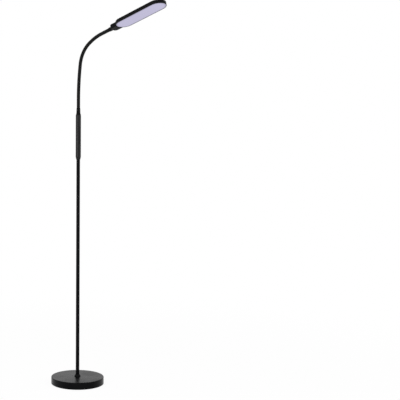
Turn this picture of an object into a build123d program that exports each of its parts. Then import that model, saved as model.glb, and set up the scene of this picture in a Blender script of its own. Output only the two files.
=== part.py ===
from build123d import *
import math
import os

# Reading floor lamp: weighted base, three-piece pole, touch grip, gooseneck and flat LED head.
# Millimetres. The origin is the centre of the base's underside, +Z is up and the head points to +X.

# Clearances
fit_gap = 0.15  # round a piece that is pushed into its seat
thread_gap = 0.1  # round a thread
slide_gap = 0.3  # round a piece that passes through another or moves beside it

# Base
base_diameter = 230.0
base_height = 30.0
base_edge_radius = 2.5
cover_wall = 1.2
cover_lift = 1.0  # from the floor to the cover's lower edge
pad_thickness = 2.0
plate_thickness = 2.0
plate_screw_count = 3
plate_screw_circle_diameter = 160.0
plate_screw_diameter = 4.0
plate_screw_head = 8.0
plate_screw_length = 10.0
weight_thickness = 11.0
hub_diameter = 36.0
nipple_diameter = 10.0
nipple_bore = 7.0
nipple_engagement = 20.0  # length screwed into the pole's foot
nut_across_flats = 14.0
nut_thickness = 5.0
washer_diameter = 20.0
washer_thickness = 1.0
nut_recess = 0.8  # from the weight's underside to the nut
collar_bottom_diameter = 27.5
collar_top_diameter = 17.6
collar_height = 9.0
collar_rim = 1.5

# Power socket in the back of the base, for a 5.5 mm plug on a 2.1 mm pin
jack_diameter = 11.0
jack_length = 14.0
jack_bezel_diameter = 13.2
jack_bezel_thickness = 1.2
jack_nut_diameter = 13.0
jack_nut_thickness = 2.5
jack_bore = 6.0
jack_bore_depth = 10.5
jack_pin_diameter = 2.1
jack_pin_length = 9.0

# Pole
pole_diameter = 16.0
pole_wall = 1.0
pole_section_length = 319.4
pole_section_count = 3
insert_length = 28.0
joiner_length = 44.0
cable_bore = 7.0  # through every insert of the pole
stud_diameter = 10.0
stud_length = 14.0

# Supply cable inside base and pole
supply_cable_diameter = 4.0
supply_cable_bend = 9.0
board_jog_height = 24.0
board_jog_radius = 25.0
cable_tail = 14.0  # length of cable lying against a board

# Grip
grip_diameter = 23.3
grip_wall = 1.8
grip_shell_length = 182.0
lower_taper_length = 12.0
lower_taper_diameter = 17.4
upper_taper_length = 10.0
upper_taper_diameter = 17.8
neck_collar_length = 22.0
neck_collar_diameter = 16.6
pole_socket_depth = 8.0
spigot_length = 12.0
shell_screw_diameter = 2.5
shell_screw_length = 12.0
shell_screw_head_diameter = 4.2
shell_screw_head_height = 1.6
shell_screw_offset = 5.5  # to each side of the grip's axis
shell_screw_inset = 18.0  # from each end of the shells
shell_screw_head_depth = 6.0  # from the split to the underside of the head
shell_boss_diameter = 6.2
panel_length = 72.0
panel_width = 14.0
panel_middle = 1.0  # above the middle of the shells
board_length = 110.0
board_width = 13.0
board_thickness = 1.2
touch_pad_count = 4
touch_pad_diameter = 5.0
touch_pad_pitch = 15.0
chip_length = 9.0
chip_width = 6.0
chip_thickness = 1.4
chip_pitch = 22.0
chip_count = 3
receiver_width = 5.0
receiver_thickness = 1.6
receiver_lift = 31.0  # above the middle of the board

# Gooseneck: runs of its middle line, from the seat in the grip to the tongue of the head
sleeve_diameter = 15.0
sleeve_wall = 1.2
sleeve_seat_depth = 4.0
neck_rise = 43.0
neck_lower_radius = 1100.0
neck_lower_angle = 8.0
neck_middle_radius = 115.0
neck_middle_angle = 50.0
neck_upper_radius = 230.0
neck_upper_angle = 19.9
neck_end_run = 64.2
core_diameter = 12.0
core_bore = 5.0
core_dome_radius = 8.0
segment_count = 11
first_joint_height = 19.0  # above the seat in the grip
last_joint_setback = 12.0  # behind the mouth of the funnel
neck_cable_diameter = 3.6
fitting_depth = 20.0  # length of the lower fitting inside the grip
cable_lead_in = 6.0  # straight length of neck cable below the lower fitting

# Head
head_length = 247.0
head_width = 78.0
head_thickness = 16.0
head_wall = 1.9
head_back = 2.0
head_edge_radius = 3.0
diffuser_thickness = 2.0
diffuser_recess = 0.4
diffuser_ledge = 1.3
tongue_length = 32.0
tongue_width = 40.0
tongue_thickness = 18.5
tongue_rear_width = 21.6
tongue_shoulder = 13.0  # length over which the tongue widens
funnel_length = 19.0
funnel_mouth_diameter = 17.0
groove_diameter = 7.2
flange_diameter = 9.6
flange_thickness = 3.0
cover_screw_diameter = 2.5
cover_screw_head_diameter = 4.6
cover_screw_head_height = 1.6
cover_screw_length = 10.0
cover_screw_setback = 18.0  # from the rear of the tongue
cover_screw_spacing = 24.0
cover_boss_diameter = 6.4
led_board_thickness = 1.6
led_length = 3.5
led_width = 2.8
led_height = 0.8
led_pitch_along = 12.0
led_pitch_across = 13.0
led_rows = 5
led_edge_margin = 4.0
board_screw_diameter = 2.5
board_screw_head_diameter = 5.0
board_screw_head_height = 1.2
board_screw_bite = 1.9  # length of thread past the board
board_boss_diameter = 6.0
board_screw_reach = 78.0  # from the middle of the head, along it
board_screw_spacing = 39.0
head_cable_tail = 22.0  # length of neck cable under the LED board

# Radii and levels that follow from the sizes above
base_radius = base_diameter / 2
cover_inner_radius = base_radius - cover_wall
disc_radius = cover_inner_radius - slide_gap
plate_top = pad_thickness + plate_thickness
weight_top = plate_top + weight_thickness
cover_underside = base_height - cover_wall
nipple_radius = nipple_diameter / 2
jack_level = (weight_top + cover_underside) / 2
jack_back = jack_length - base_radius
pole_radius = pole_diameter / 2
pole_inner_radius = pole_radius - pole_wall
insert_radius = pole_inner_radius - fit_gap
cable_bore_radius = cable_bore / 2
pole_top = base_height + pole_section_count * pole_section_length
grip_bottom = pole_top - pole_socket_depth
shell_bottom = grip_bottom + lower_taper_length
shell_top = shell_bottom + grip_shell_length
collar_seat = shell_top + upper_taper_length
grip_top = collar_seat + neck_collar_length
grip_radius = grip_diameter / 2
shell_inner_radius = grip_radius - grip_wall
supply_cable_radius = supply_cable_diameter / 2
neck_cable_radius = neck_cable_diameter / 2
board_middle = (shell_bottom + shell_top) / 2 + panel_middle
board_bottom = board_middle - board_length / 2
board_top = board_middle + board_length / 2
board_front = math.sqrt(shell_inner_radius**2 - (board_width / 2) ** 2) - fit_gap
board_rear = board_front - board_thickness
panel_back = math.sqrt(grip_radius**2 - (panel_width / 2) ** 2)
neck_seat = grip_top - sleeve_seat_depth
sleeve_radius = sleeve_diameter / 2
sleeve_bore_radius = sleeve_radius - sleeve_wall
core_radius = core_diameter / 2
core_bore_radius = core_bore / 2
neck_runs = [
    (neck_rise, 0.0),
    (neck_lower_radius, neck_lower_angle),
    (neck_middle_radius, neck_middle_angle),
    (neck_upper_radius, neck_upper_angle),
    (neck_end_run, 0.0),
]
head_middle = tongue_length + head_length / 2
head_half = head_thickness / 2
tongue_half = tongue_thickness / 2
tongue_inside = tongue_half - head_wall
end_height = max(head_half, tongue_half)
bottom = (Align.CENTER, Align.CENTER, Align.MIN)


# Shapes that several pieces share


def upright(radius, low, high):
    return Pos(0, 0, low) * Cylinder(radius, high - low, align=bottom)


def ring(outer, inner, low, high):
    return upright(outer, low, high) - upright(inner, low, high)


def cone(low_radius, high_radius, low, high):
    return Pos(0, 0, low) * Cone(low_radius, high_radius, high - low, align=bottom)


def along_x(radius, start, end, y=0.0, z=0.0):
    return Pos(start, y, z) * Rot(0, 90, 0) * Cylinder(radius, end - start, align=bottom)


def block(x, y, z):
    return Pos((x[0] + x[1]) / 2, (y[0] + y[1]) / 2, (z[0] + z[1]) / 2) * Box(
        x[1] - x[0], y[1] - y[0], z[1] - z[0]
    )


def hexagon(across_flats, low, high):
    outline = RegularPolygon(across_flats / 2, 6, major_radius=False)
    return extrude(Pos(0, 0, low) * outline, amount=high - low)


def stadium(inset, low, high):
    outline = SlotOverall(head_length - 2 * inset, head_width - 2 * inset)
    return extrude(Pos(head_middle, 0, low) * outline, amount=high - low)


def save(name, shape):
    export_step(shape, f"parts/{name}.step")


# Middle line of the gooseneck


def run_length(size, turn):
    return math.radians(turn) * size if turn else size


def neck_state(distance):
    # place and lean from upright, at a distance along the neck
    x, z, lean, left = 0.0, neck_seat, 0.0, distance
    for size, turn in neck_runs:
        part = min(left, run_length(size, turn))
        if turn:
            swing = part / size
            x += size * (math.cos(lean) - math.cos(lean + swing))
            z += size * (math.sin(lean + swing) - math.sin(lean))
            lean += swing
        else:
            x += part * math.sin(lean)
            z += part * math.cos(lean)
        left -= part
    x += left * math.sin(lean)
    z += left * math.cos(lean)
    return x, z, lean


def neck_point(distance):
    x, z, _ = neck_state(distance)
    return Vector(x, 0, z)


def neck_plane(distance):
    # its normal runs along the neck, and its X axis is the neck's upper side
    x, z, lean = neck_state(distance)
    normal = (math.sin(lean), 0, math.cos(lean))
    upper = (-math.cos(lean), 0, math.sin(lean))
    return Plane(origin=(x, 0, z), x_dir=upper, z_dir=normal)


def neck_edges(start, end):
    edges = []
    covered = 0.0
    for size, turn in neck_runs:
        length = run_length(size, turn)
        first = max(start, covered)
        last = min(end, covered + length)
        if last - first > slide_gap:
            middle = (first + last) / 2
            ends = neck_point(first), neck_point(last)
            edges.append(ThreePointArc(ends[0], neck_point(middle), ends[1]) if turn else Line(*ends))
        covered += length
    return edges


def neck_tube(outer, inner, start, end):
    section = neck_plane(start) * (Circle(outer) - Circle(inner))
    return sweep(section, path=Wire(neck_edges(start, end)))


neck_length = sum(run_length(size, turn) for size, turn in neck_runs)
funnel_mouth = neck_length - funnel_length
sleeve_end = funnel_mouth + sleeve_seat_depth
last_joint = funnel_mouth - last_joint_setback
joint_pitch = (last_joint - first_joint_height) / segment_count
joint_places = [first_joint_height + joint_pitch * k for k in range(segment_count + 1)]
for number, place in enumerate(joint_places, 1):
    joint_x, joint_z, joint_lean = neck_state(place)
    print(f"neck joint {number}: x {joint_x:.4f} z {joint_z:.4f} lean {joint_lean:.6f}")


# Base

floor_pad = upright(disc_radius, 0, pad_thickness)
bottom_plate = upright(disc_radius, pad_thickness, plate_top)
nut_hole_radius = washer_diameter / 2 + slide_gap
recess_top = plate_top + nut_recess + nut_thickness + washer_thickness
bottom_plate -= upright(nut_hole_radius, pad_thickness, plate_top)
base_weight = upright(disc_radius, plate_top, weight_top)
base_weight += upright(hub_diameter / 2, weight_top, cover_underside)
base_weight -= upright(nipple_radius + slide_gap, plate_top, cover_underside)
base_weight -= upright(nut_hole_radius, plate_top, recess_top)
slot_half = supply_cable_radius + slide_gap
slot_low = jack_level - slot_half
base_weight -= block((-hub_diameter, 0), (-slot_half, slot_half), (slot_low, cover_underside))

plate_screws = []
for spot in PolarLocations(plate_screw_circle_diameter / 2, plate_screw_count):
    shank = plate_screw_diameter / 2
    head = plate_screw_head / 2
    tip = pad_thickness + plate_screw_length
    screw = cone(head, shank, pad_thickness, plate_top)
    screw += upright(shank, plate_top, tip)
    plate_screws.append(spot * screw)
    bottom_plate -= spot * cone(head + fit_gap, shank + fit_gap, pad_thickness, plate_top)
    base_weight -= spot * upright(shank + thread_gap, plate_top, tip + thread_gap)

base_cover = upright(base_radius, cover_lift, base_height)
base_cover = fillet(base_cover.edges().group_by(Axis.Z)[-1], base_edge_radius)
cover_hollow = upright(cover_inner_radius, 0, cover_underside)
inner_edge_radius = max(base_edge_radius - cover_wall, slide_gap)
cover_hollow = fillet(cover_hollow.edges().group_by(Axis.Z)[-1], inner_edge_radius)
base_cover -= cover_hollow
base_cover -= upright(nipple_radius + slide_gap, cover_underside, base_height)
base_cover -= along_x(jack_diameter / 2 + fit_gap, -2 * base_radius, jack_back, z=jack_level)

nipple_top = base_height + nipple_engagement
threaded_nipple = ring(nipple_radius, nipple_bore / 2, plate_top + nut_recess / 2, nipple_top)
threaded_nipple -= block((-nipple_diameter, 0), (-slot_half, slot_half), (slot_low, cover_underside))
nut_low = plate_top + nut_recess
nut_high = nut_low + nut_thickness
lock_nut = hexagon(nut_across_flats, nut_low, nut_high)
lock_nut -= upright(nipple_radius + thread_gap, nut_low, nut_high)
lock_washer = ring(washer_diameter / 2, nipple_radius + thread_gap, nut_high, recess_top)

collar_low = base_height + collar_rim
collar_high = base_height + collar_height
pole_collar = upright(collar_bottom_diameter / 2, base_height, collar_low)
pole_collar += cone(collar_bottom_diameter / 2, collar_top_diameter / 2, collar_low, collar_high)
pole_collar -= upright(pole_radius + fit_gap, base_height, collar_high)

# Power socket

jack_face = -base_radius - jack_bezel_thickness
jack_floor = jack_face + jack_bore_depth
power_jack = along_x(jack_diameter / 2, -base_radius, jack_back, z=jack_level)
power_jack += along_x(jack_bezel_diameter / 2, jack_face, -base_radius, z=jack_level)
power_jack -= along_x(jack_bore / 2, jack_face, jack_floor, z=jack_level)
jack_pin = along_x(jack_pin_diameter / 2, jack_floor - jack_pin_length, jack_floor, z=jack_level)
jack_nut_radius = jack_nut_diameter / 2
jack_nut_face = slide_gap - math.sqrt(cover_inner_radius**2 - jack_nut_radius**2)
jack_nut_end = jack_nut_face + jack_nut_thickness
jack_nut = along_x(jack_nut_radius, jack_nut_face, jack_nut_end, z=jack_level)
jack_nut -= along_x(jack_diameter / 2 + thread_gap, jack_nut_face, jack_nut_end, z=jack_level)

# Pole

pole_tubes = []
for number in range(pole_section_count):
    low = base_height + number * pole_section_length
    pole_tubes.append(ring(pole_radius, pole_inner_radius, low, low + pole_section_length))
joiners = []
for number in range(1, pole_section_count):
    seam = base_height + number * pole_section_length
    joiner_low = seam - joiner_length / 2
    joiners.append(ring(insert_radius, cable_bore_radius, joiner_low, joiner_low + joiner_length))
foot_top = base_height + insert_length
foot_insert = ring(insert_radius, cable_bore_radius, base_height, foot_top)
foot_insert -= upright(nipple_radius + thread_gap, base_height, nipple_top + thread_gap)
top_insert = ring(insert_radius, cable_bore_radius, pole_top - insert_length, pole_top)
top_insert += ring(stud_diameter / 2, cable_bore_radius, pole_top, pole_top + stud_length)

# Grip

ferrule_bore = stud_diameter / 2 + thread_gap
spigot_radius = shell_inner_radius - fit_gap
lower_ferrule = cone(lower_taper_diameter / 2, grip_radius, grip_bottom, shell_bottom)
lower_ferrule += upright(spigot_radius, shell_bottom, shell_bottom + spigot_length)
lower_ferrule -= upright(pole_radius + fit_gap, grip_bottom, pole_top)
lower_ferrule -= upright(ferrule_bore, pole_top, shell_bottom + spigot_length)

fitting_low = neck_seat - fitting_depth
upper_ferrule = cone(grip_radius, upper_taper_diameter / 2, shell_top, collar_seat)
upper_ferrule += cone(upper_taper_diameter / 2, neck_collar_diameter / 2, collar_seat, grip_top)
upper_ferrule += upright(spigot_radius, shell_top - spigot_length, shell_top)
upper_ferrule -= upright(sleeve_radius + fit_gap, neck_seat, grip_top)
upper_ferrule -= upright(core_radius + thread_gap, shell_top - spigot_length, neck_seat)

grip_shell = ring(grip_radius, shell_inner_radius, shell_bottom, shell_top)
front_half = block((0, grip_diameter), (-grip_diameter, grip_diameter), (shell_bottom, shell_top))
rear_half = block((-grip_diameter, 0), (-grip_diameter, grip_diameter), (shell_bottom, shell_top))
shell_core = upright(shell_inner_radius + grip_wall / 2, shell_bottom, shell_top)
front_shell = grip_shell & front_half
rear_shell = grip_shell & rear_half
screw_reach = shell_screw_length - shell_screw_head_depth
grip_screws = []
for level in (shell_bottom + shell_screw_inset, shell_top - shell_screw_inset):
    for side in (-shell_screw_offset, shell_screw_offset):
        boss = along_x(shell_boss_diameter / 2, -grip_radius, grip_radius, side, level) & shell_core
        front_shell += boss & front_half
        rear_shell += boss & rear_half
        pilot = shell_screw_diameter / 2 + thread_gap
        front_shell -= along_x(pilot, 0, screw_reach + thread_gap, side, level)
        rear_shell -= along_x(pilot + fit_gap, -grip_radius, 0, side, level)
        head_hole = shell_screw_head_diameter / 2 + fit_gap
        rear_shell -= along_x(head_hole, -grip_radius, -shell_screw_head_depth, side, level)
        shank = along_x(shell_screw_diameter / 2, -shell_screw_head_depth, screw_reach, side, level)
        head_end = -shell_screw_head_depth - shell_screw_head_height
        head = along_x(shell_screw_head_diameter / 2, head_end, -shell_screw_head_depth, side, level)
        grip_screws.append(shank + head)

panel_low = board_middle - panel_length / 2
panel_high = board_middle + panel_length / 2
panel_half = panel_width / 2
panel_band = block((panel_back, grip_diameter), (-panel_half, panel_half), (panel_low, panel_high))
touch_panel = upright(grip_radius, panel_low, panel_high) & panel_band
front_shell -= block(
    (panel_back, grip_diameter),
    (-panel_half - fit_gap, panel_half + fit_gap),
    (panel_low - fit_gap, panel_high + fit_gap),
)

board_half = board_width / 2
control_board = block((board_rear, board_front), (-board_half, board_half), (board_bottom, board_top))
touch_pads = []
for number in range(touch_pad_count):
    level = board_middle + (number - (touch_pad_count - 1) / 2) * touch_pad_pitch
    touch_pads.append(along_x(touch_pad_diameter / 2, board_front, panel_back - fit_gap, 0, level))
board_chips = []
for number in range(chip_count):
    level = board_middle + (number - (chip_count - 1) / 2) * chip_pitch
    board_chips.append(
        block(
            (board_rear - chip_thickness, board_rear),
            (-chip_width / 2, chip_width / 2),
            (level - chip_length / 2, level + chip_length / 2),
        )
    )
receiver_level = board_middle + receiver_lift
remote_receiver = block(
    (board_front, board_front + receiver_thickness),
    (-receiver_width / 2, receiver_width / 2),
    (receiver_level - receiver_width / 2, receiver_level + receiver_width / 2),
)

# Supply cable: from the socket along the base, up the pole and against the back of the board

supply_end_x = board_rear - supply_cable_radius - fit_gap
supply_route = FilletPolyline(
    (jack_back, 0, jack_level),
    (0, 0, jack_level),
    (0, 0, board_bottom - board_jog_height),
    (supply_end_x, 0, board_bottom),
    (supply_end_x, 0, board_bottom + cable_tail),
    radius=[supply_cable_bend, board_jog_radius, board_jog_radius],
)
supply_start = Plane(origin=(jack_back, 0, jack_level), z_dir=(1, 0, 0))
supply_cable = sweep(supply_start * Circle(supply_cable_radius), path=supply_route)

# Gooseneck

dome_gap_radius = core_dome_radius + slide_gap


def dome_crown(place):
    # what lies above the round top of a segment
    seat = neck_plane(place)
    blank = Cylinder(2 * core_dome_radius, 2 * core_dome_radius, align=bottom)
    return seat * (blank - Sphere(core_dome_radius))


def dome_cup(place):
    return neck_plane(place) * Sphere(dome_gap_radius)


segments = []
for start, end in zip(joint_places, joint_places[1:]):
    segment = neck_tube(core_radius, core_bore_radius, start, end + core_dome_radius)
    segments.append(segment - dome_cup(start) - dome_crown(end))

nose_top = neck_seat + first_joint_height + core_dome_radius
neck_lower_fitting = ring(core_radius, core_bore_radius, fitting_low, nose_top)
neck_lower_fitting -= dome_crown(first_joint_height)

neck_upper_fitting = neck_tube(core_radius, core_bore_radius, last_joint, neck_length)
neck_upper_fitting -= dome_cup(last_joint)
neck_end = neck_plane(neck_length)
groove_end = head_wall + fit_gap
neck_upper_fitting += neck_end * ring(groove_diameter / 2, core_bore_radius, 0, groove_end)
neck_upper_fitting += neck_end * ring(
    flange_diameter / 2, core_bore_radius, groove_end, groove_end + flange_thickness
)
neck_sleeve = neck_tube(sleeve_radius, sleeve_bore_radius, 0, sleeve_end)

# Head, built flat with X along it from the rear of the tongue and Z towards its back, then set on the neck

head_place = Location(Plane(origin=neck_end.origin, x_dir=neck_end.z_dir, z_dir=neck_end.x_dir))
ledge_level = diffuser_recess + diffuser_thickness - head_half
led_board_front = neck_cable_radius + slide_gap
led_board_back = led_board_front + led_board_thickness
back_level = head_half - head_back
ledge_inset = head_wall + diffuser_ledge


def tongue_outline(inset):
    # widening behind the head, with round shoulders, and running on into the head's end
    half = tongue_width / 2 - inset
    rear = tongue_rear_width / 2 - inset
    reach = tongue_length + head_width / 4
    upper = TangentArc((tongue_shoulder, half), (inset, rear), tangent=(-1, 0))
    lower = TangentArc((tongue_shoulder, -half), (inset, -rear), tangent=(-1, 0))
    sides = [
        Line((inset, rear), (inset, -rear)),
        Line((tongue_shoulder, -half), (reach, -half)),
        Line((reach, -half), (reach, half)),
        Line((reach, half), (tongue_shoulder, half)),
    ]
    return make_face([upper, lower] + sides)


def tongue_block(inset, low, high):
    return extrude(Pos(0, 0, low) * tongue_outline(inset), amount=high - low)


head_outer = stadium(0, -head_half, head_half)
head_outer = fillet(head_outer.edges().group_by(Axis.Z)[-1], head_edge_radius)
head_end = stadium(0, -end_height, end_height)
head_rear = stadium(-fit_gap, -end_height, end_height)

fixed_tongue = tongue_block(0, -tongue_half, 0)
fixed_tongue -= tongue_block(head_wall, -tongue_inside, 0)
fixed_tongue -= head_end
tongue_cover = tongue_block(0, 0, tongue_half)
tongue_cover -= tongue_block(head_wall, 0, tongue_inside)
tongue_cover -= head_rear
neck_notch = along_x(groove_diameter / 2 + fit_gap, 0, head_wall)
fixed_tongue -= neck_notch
tongue_cover -= neck_notch

head_shell = head_outer + fixed_tongue
head_shell -= stadium(head_wall, -head_half, ledge_level)
head_shell -= stadium(ledge_inset, ledge_level, back_level)
cable_door = neck_cable_radius + 2 * slide_gap
head_shell -= along_x(cable_door, tongue_length - head_wall, tongue_length + 2 * ledge_inset)

cover_screws = []
for side in (-cover_screw_spacing / 2, cover_screw_spacing / 2):
    spot = Pos(cover_screw_setback, side, 0)
    head_seat = tongue_half - cover_screw_head_height
    shank_tip = head_seat - cover_screw_length
    shank = cover_screw_diameter / 2
    head_shell += spot * upright(cover_boss_diameter / 2, -tongue_inside, 0)
    head_shell -= spot * upright(shank + thread_gap, shank_tip - thread_gap, 0)
    tongue_cover += spot * upright(cover_boss_diameter / 2, 0, tongue_inside)
    tongue_cover -= spot * upright(shank + fit_gap, 0, tongue_half)
    tongue_cover -= spot * upright(cover_screw_head_diameter / 2 + fit_gap, head_seat, tongue_half)
    screw = upright(cover_screw_head_diameter / 2, head_seat, tongue_half)
    cover_screws.append(spot * (screw + upright(shank, shank_tip, head_seat)))

diffuser = stadium(head_wall + fit_gap, diffuser_recess - head_half, ledge_level)
led_board = stadium(ledge_inset + slide_gap, led_board_front, led_board_back)
board_screws = []
for along in (head_middle - board_screw_reach, head_middle + board_screw_reach):
    for side in (-board_screw_spacing / 2, board_screw_spacing / 2):
        spot = Pos(along, side, 0)
        shank = board_screw_diameter / 2
        shank_top = led_board_back + board_screw_bite
        head_shell += spot * upright(board_boss_diameter / 2, led_board_back, back_level)
        head_shell -= spot * upright(shank + thread_gap, led_board_back, shank_top + thread_gap)
        led_board -= spot * upright(shank + fit_gap, led_board_front, led_board_back)
        head_low = led_board_front - board_screw_head_height
        screw = upright(board_screw_head_diameter / 2, head_low, led_board_front)
        board_screws.append(spot * (screw + upright(shank, led_board_front, shank_top)))

leds = []
led_reach = head_length / 2 - head_width / 2
led_round = head_width / 2 - ledge_inset - led_edge_margin
led_columns = 2 * math.floor((led_reach + led_round) / led_pitch_along) + 1
for row in range(led_rows):
    across = (row - (led_rows - 1) / 2) * led_pitch_across
    for column in range(led_columns):
        along = (column - (led_columns - 1) / 2) * led_pitch_along
        past_straight = max(abs(along) - led_reach, 0)
        under_cable = across == 0 and along < head_cable_tail + led_length - head_length / 2
        if math.hypot(past_straight, across) <= led_round and not under_cable:
            middle = head_middle + along
            leds.append(
                block(
                    (middle - led_length / 2, middle + led_length / 2),
                    (across - led_width / 2, across + led_width / 2),
                    (led_board_front - led_height, led_board_front),
                )
            )

# Funnel between the sleeve and the tongue

funnel_mouth_radius = funnel_mouth_diameter / 2
neck_funnel = loft(
    [
        neck_plane(funnel_mouth) * Ellipse(funnel_mouth_radius, funnel_mouth_radius),
        neck_end * Ellipse(tongue_half, tongue_rear_width / 2),
    ]
)
sleeve_pocket = sleeve_seat_depth + slide_gap
neck_funnel -= neck_plane(funnel_mouth) * upright(sleeve_radius + slide_gap, 0, sleeve_pocket)
neck_funnel -= neck_plane(funnel_mouth) * upright(core_radius + thread_gap, 0, funnel_length)

# Neck cable: from the back of the board, up the neck and under the LED board

neck_cable_x = board_rear - neck_cable_radius - fit_gap
cable_jog_end = fitting_low - cable_lead_in
neck_lead = FilletPolyline(
    (neck_cable_x, 0, board_top - cable_tail),
    (neck_cable_x, 0, board_top),
    (0, 0, cable_jog_end),
    (0, 0, neck_seat),
    radius=[board_jog_radius, board_jog_radius],
)
cable_end = neck_length + tongue_length + head_cable_tail
neck_route = neck_edges(0, neck_length)[:-1]
last_bend = neck_length - neck_end_run
neck_route.append(Line(neck_point(last_bend), neck_point(cable_end)))
cable_start = Plane(origin=(neck_cable_x, 0, board_top - cable_tail), z_dir=(0, 0, 1))
neck_cable = sweep(cable_start * Circle(neck_cable_radius), path=Wire(neck_lead.edges() + neck_route))
cable_length = neck_lead.length + cable_end
neck_section = math.pi * neck_cable_radius**2
supply_section = math.pi * supply_cable_radius**2
print(f"neck cable {cable_length:.1f} mm, {neck_cable.volume / neck_section:.1f} by volume")
print(f"supply cable {supply_route.length:.1f} mm, {supply_cable.volume / supply_section:.1f} by volume")

# One file for each piece

save("floor_pad", floor_pad)
save("bottom_plate", bottom_plate)
save("plate_screws", Compound(plate_screws))
save("base_weight", base_weight)
save("base_cover", base_cover)
save("threaded_nipple", threaded_nipple)
save("lock_nut", lock_nut)
save("lock_washer", lock_washer)
save("pole_collar", pole_collar)
save("power_jack", power_jack)
save("jack_pin", jack_pin)
save("jack_nut", jack_nut)
for number, tube in enumerate(pole_tubes, 1):
    save(f"pole_tube_{number}", tube)
for number, joiner in enumerate(joiners, 1):
    save(f"pole_joiner_{number}", joiner)
save("foot_insert", foot_insert)
save("top_insert", top_insert)
save("supply_cable", supply_cable)
save("lower_ferrule", lower_ferrule)
save("upper_ferrule", upper_ferrule)
save("front_shell", front_shell)
save("rear_shell", rear_shell)
save("grip_screws", Compound(grip_screws))
save("touch_panel", touch_panel)
save("control_board", control_board)
save("touch_pads", Compound(touch_pads))
save("board_chips", Compound(board_chips))
save("remote_receiver", remote_receiver)
save("neck_lower_fitting", neck_lower_fitting)
for number, segment in enumerate(segments, 1):
    save(f"neck_segment_{number:02d}", segment)
save("neck_upper_fitting", neck_upper_fitting)
save("neck_sleeve", neck_sleeve)
save("neck_cable", neck_cable)
save("neck_funnel", neck_funnel)
save("head_shell", head_place * head_shell)
save("tongue_cover", head_place * tongue_cover)
save("cover_screws", head_place * Compound(cover_screws))
save("diffuser", head_place * diffuser)
save("led_board", head_place * led_board)
save("board_screws", head_place * Compound(board_screws))
save("leds", head_place * Compound(leds))
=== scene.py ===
import math
import bmesh
import bpy
from mathutils import Matrix, Vector


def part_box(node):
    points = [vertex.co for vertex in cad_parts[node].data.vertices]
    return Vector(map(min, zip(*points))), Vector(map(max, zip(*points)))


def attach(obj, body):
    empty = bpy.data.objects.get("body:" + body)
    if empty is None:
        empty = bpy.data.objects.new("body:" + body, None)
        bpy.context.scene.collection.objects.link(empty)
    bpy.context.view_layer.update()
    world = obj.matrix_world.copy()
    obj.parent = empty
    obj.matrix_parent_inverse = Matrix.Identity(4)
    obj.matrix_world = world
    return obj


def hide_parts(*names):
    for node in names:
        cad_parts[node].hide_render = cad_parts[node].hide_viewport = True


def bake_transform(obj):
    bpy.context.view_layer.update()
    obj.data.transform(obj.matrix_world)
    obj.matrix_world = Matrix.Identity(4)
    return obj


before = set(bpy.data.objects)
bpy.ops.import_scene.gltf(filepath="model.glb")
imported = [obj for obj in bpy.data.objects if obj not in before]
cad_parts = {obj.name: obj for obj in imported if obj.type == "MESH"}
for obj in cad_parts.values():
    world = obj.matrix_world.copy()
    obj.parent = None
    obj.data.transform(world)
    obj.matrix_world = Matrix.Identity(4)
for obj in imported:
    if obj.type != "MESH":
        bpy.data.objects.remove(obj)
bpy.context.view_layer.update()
scene = bpy.context.scene
scene.view_settings.view_transform = "Standard"
mm = 0.001
print("frame loaded:", len(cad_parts), "nodes")


# Camera: level, with the pole straight ahead and the frame moved to the pole's right

camera = {
    "focalPixels": 702.4,  # for the frame's pixels below
    "framePixels": 400,
    "sensor": 36.0,
    "distance": 3.083,  # to the pole
    "height": 0.803,
    "azimuth": 45.0,  # degrees from the -Y side towards +X
    "roll": 0.2,
    "polePixel": 78.1,  # where the pole stands in the frame
}


def placeCamera(spec):
    data = bpy.data.cameras.new("photoCamera")
    data.sensor_width = spec["sensor"]
    data.lens = spec["focalPixels"] / spec["framePixels"] * spec["sensor"]
    data.shift_x = 0.5 - spec["polePixel"] / spec["framePixels"]
    turn = math.radians(spec["azimuth"])
    place = Vector((math.sin(turn), -math.cos(turn), 0)) * spec["distance"]
    place.z = spec["height"]
    holder = bpy.data.objects.new("photoCamera", data)
    holder.location = place
    holder.rotation_euler = (math.radians(90), -math.radians(spec["roll"]), turn)
    scene.collection.objects.link(holder)
    scene.camera = holder


placeCamera(camera)
print("camera placed")


# Shader helpers


def srgb(hexText):
    parts = [int(hexText[i : i + 2], 16) / 255 for i in (1, 3, 5)]
    return tuple(c / 12.92 if c <= 0.04045 else ((c + 0.055) / 1.055) ** 2.4 for c in parts) + (1.0,)


def addNode(tree, kind, inputs=None, **settings):
    made = tree.nodes.new(kind)
    for name, value in settings.items():
        setattr(made, name, value)
    for name, value in (inputs or {}).items():
        if isinstance(value, bpy.types.NodeSocket):
            tree.links.new(value, made.inputs[name])
        else:
            made.inputs[name].default_value = value
    return made


def newMaterial(name):
    made = bpy.data.materials.new(name)
    made.use_nodes = True
    made.node_tree.nodes.clear()
    return made, made.node_tree


# Studio: white all round, a pale floor that keeps the shadow, and soft lamps

studio = {
    "skyColour": "#ffffff",
    "skyForDiffuse": 0.72,  # with the lamps, the level at which a colour renders as it is written
    "floorSize": 600.0,
    "floorColour": "#f8f8f8",
    "floorGlow": 0.94,  # near the lamp, share of the floor's white that the light doesn't make
    "shadowReach": 0.5,
    "whiteFrom": 3.0,
}
lamps = {
    # a tall soft box by the camera, which draws a streak along the grip and the pole
    "key": {"place": (0.72, -2.7, 1.35), "aim": (0, 0, 1.1), "wide": 0.6, "tall": 2.2, "watts": 26},
    "top": {"place": (-0.6, -2.2, 2.9), "aim": (0, 0, 0.9), "wide": 1.4, "tall": 1.4, "watts": 14},
    "fill": {"place": (3.0, 0.6, 2.2), "aim": (0, 0, 0.9), "wide": 1.6, "tall": 1.6, "watts": 12},
}


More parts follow.
